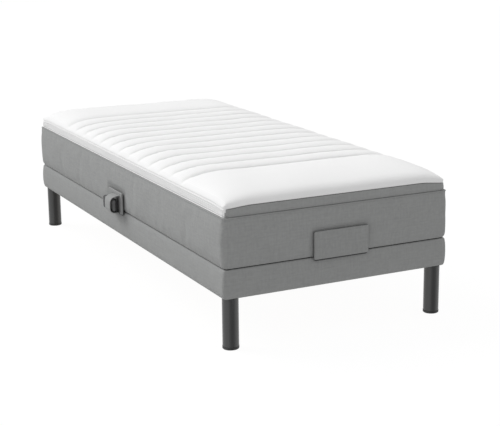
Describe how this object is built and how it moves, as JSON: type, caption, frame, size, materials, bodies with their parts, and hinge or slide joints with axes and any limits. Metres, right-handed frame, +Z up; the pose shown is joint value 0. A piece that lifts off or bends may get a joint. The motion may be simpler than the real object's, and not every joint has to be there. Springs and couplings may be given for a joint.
{
  "type": "adjustable bed",
  "caption": "Single adjustable bed: upholstered base on round legs, platform that lifts at back and legs, mattress, quilted topper, and a remote in a side loop.",
  "frame": {"origin": "on the floor, under the centre of the whole part's box", "axes": "+Y along the bed to the head end, +Z up, -X to the long side with the remote's loop"},
  "size_m": [0.9656, 2.0253, 0.5373],
  "materials": {
    "base_upholstery": "matte",
    "mattress_cover": "matte",
    "retainer_fabric": "matte",
    "loop_strap": "matte",
    "topper_cover": "matte",
    "leg_paint": "satin",
    "floor_cap_plastic": "matte",
    "pine": "matte",
    "plywood": "satin",
    "black_steel": "satin",
    "zinc_steel": "satin",
    "actuator_plastic": "matte",
    "remote_plastic": "satin",
    "button_rubber": "matte"
  },
  "bodies": {
    "base": {"side_rail_left": "pine", "base_cover_left": "base_upholstery", "seat_frame_left": "black_steel", "strut_bracket_left": "black_steel", "side_rail_right": "pine", "base_cover_right": "base_upholstery", "seat_frame_right": "black_steel", "strut_bracket_right": "black_steel", "base_cover_foot": "base_upholstery", "head_rail": "pine", "base_cover_head": "base_upholstery", "corner_block_foot_left": "pine", "leg_foot_left": "leg_paint", "floor_cap_foot_left": "floor_cap_plastic", "corner_block_foot_right": "pine", "leg_foot_right": "leg_paint", "floor_cap_foot_right": "floor_cap_plastic", "corner_block_head_left": "pine", "leg_head_left": "leg_paint", "floor_cap_head_left": "floor_cap_plastic", "corner_block_head_right": "pine", "leg_head_right": "leg_paint", "floor_cap_head_right": "floor_cap_plastic", "seat_deck": "plywood", "leg_motor_crossbar": "black_steel", "side_retainer_bracket": "black_steel", "leg_actuator_motor": "actuator_plastic", "leg_actuator_tube": "zinc_steel", "control_box": "actuator_plastic", "side_retainer": "retainer_fabric", "remote_loop": "loop_strap", "foot_rail": "pine", "back_motor_crossbar": "black_steel", "back_actuator_motor": "actuator_plastic", "back_actuator_tube": "zinc_steel", "mattress_seat": "mattress_cover", "topper_seat": "topper_cover"},
    "back_section": {"back_deck": "plywood", "back_torque_rod": "black_steel", "mattress_back": "mattress_cover", "topper_back": "topper_cover"},
    "thigh_section": {"thigh_deck": "plywood", "thigh_torque_rod": "black_steel", "knee_rod": "black_steel", "mattress_thigh": "mattress_cover", "topper_thigh": "topper_cover"},
    "calf_section": {"calf_deck": "plywood", "mattress_calf": "mattress_cover", "topper_calf": "topper_cover", "foot_retainer": "retainer_fabric", "foot_retainer_bracket": "black_steel"},
    "calf_struts": {"calf_strut_left": "zinc_steel", "calf_strut_right": "zinc_steel"},
    "back_rod": {"back_push_rod": "zinc_steel"},
    "leg_rod": {"leg_push_rod": "zinc_steel"},
    "remote": {"remote_shell": "remote_plastic"},
    "button_back_up": {"button_back_up": "button_rubber"},
    "button_back_down": {"button_back_down": "button_rubber"},
    "button_legs_up": {"button_legs_up": "button_rubber"},
    "button_legs_down": {"button_legs_down": "button_rubber"}
  },
  "joints": [
    {"name": "back_lift", "type": "hinge", "parent": "base", "child": "back_section", "pos_m": [0.029, 0.2285, 0.2807], "axis": [1, 0, 0], "range_deg": [0, 50], "deforming": ["mattress_seat", "topper_seat"]},
    {"name": "thigh_lift", "type": "hinge", "parent": "base", "child": "thigh_section", "pos_m": [0.029, -0.0715, 0.2807], "axis": [-1, 0, 0], "range_deg": [0, 30], "deforming": ["mattress_seat", "topper_seat"]},
    {"name": "knee_bend", "type": "hinge", "parent": "thigh_section", "child": "calf_section", "pos_m": [0.029, -0.4115, 0.2807], "axis": [1, 0, 0], "range_deg": [0, 30]},
    {"name": "strut_swing", "type": "hinge", "parent": "base", "child": "calf_struts", "pos_m": [0.029, -0.4715, 0.2507], "axis": [-1, 0, 0], "range_deg": [0, 30]},
    {"name": "back_rod_push", "type": "slide", "parent": "base", "child": "back_rod", "axis": [0, 1, 0], "range_m": [0, 0.093]},
    {"name": "leg_rod_push", "type": "slide", "parent": "base", "child": "leg_rod", "axis": [0, -1, 0], "range_m": [0, 0.057]},
    {"name": "remote_pull", "type": "slide", "parent": "base", "child": "remote", "axis": [0, 1, 0], "range_m": [0, 0.13]},
    {"name": "button_back_up_press", "type": "slide", "parent": "remote", "child": "button_back_up", "axis": [1, 0, 0], "range_m": [0, 0.0012], "stiffness_N_per_m": 400},
    {"name": "button_back_down_press", "type": "slide", "parent": "remote", "child": "button_back_down", "axis": [1, 0, 0], "range_m": [0, 0.0012], "stiffness_N_per_m": 400},
    {"name": "button_legs_up_press", "type": "slide", "parent": "remote", "child": "button_legs_up", "axis": [1, 0, 0], "range_m": [0, 0.0012], "stiffness_N_per_m": 400},
    {"name": "button_legs_down_press", "type": "slide", "parent": "remote", "child": "button_legs_down", "axis": [1, 0, 0], "range_m": [0, 0.0012], "stiffness_N_per_m": 400}
  ],
  "couplings": [
    {"joint": "knee_bend", "follows": "thigh_lift", "ratio": 1},
    {"joint": "strut_swing", "follows": "thigh_lift", "ratio": 1},
    {"joint": "back_rod_push", "follows": "back_lift", "m_per_rad": 0.10654},
    {"joint": "leg_rod_push", "follows": "thigh_lift", "m_per_rad": 0.10875}
  ]
}
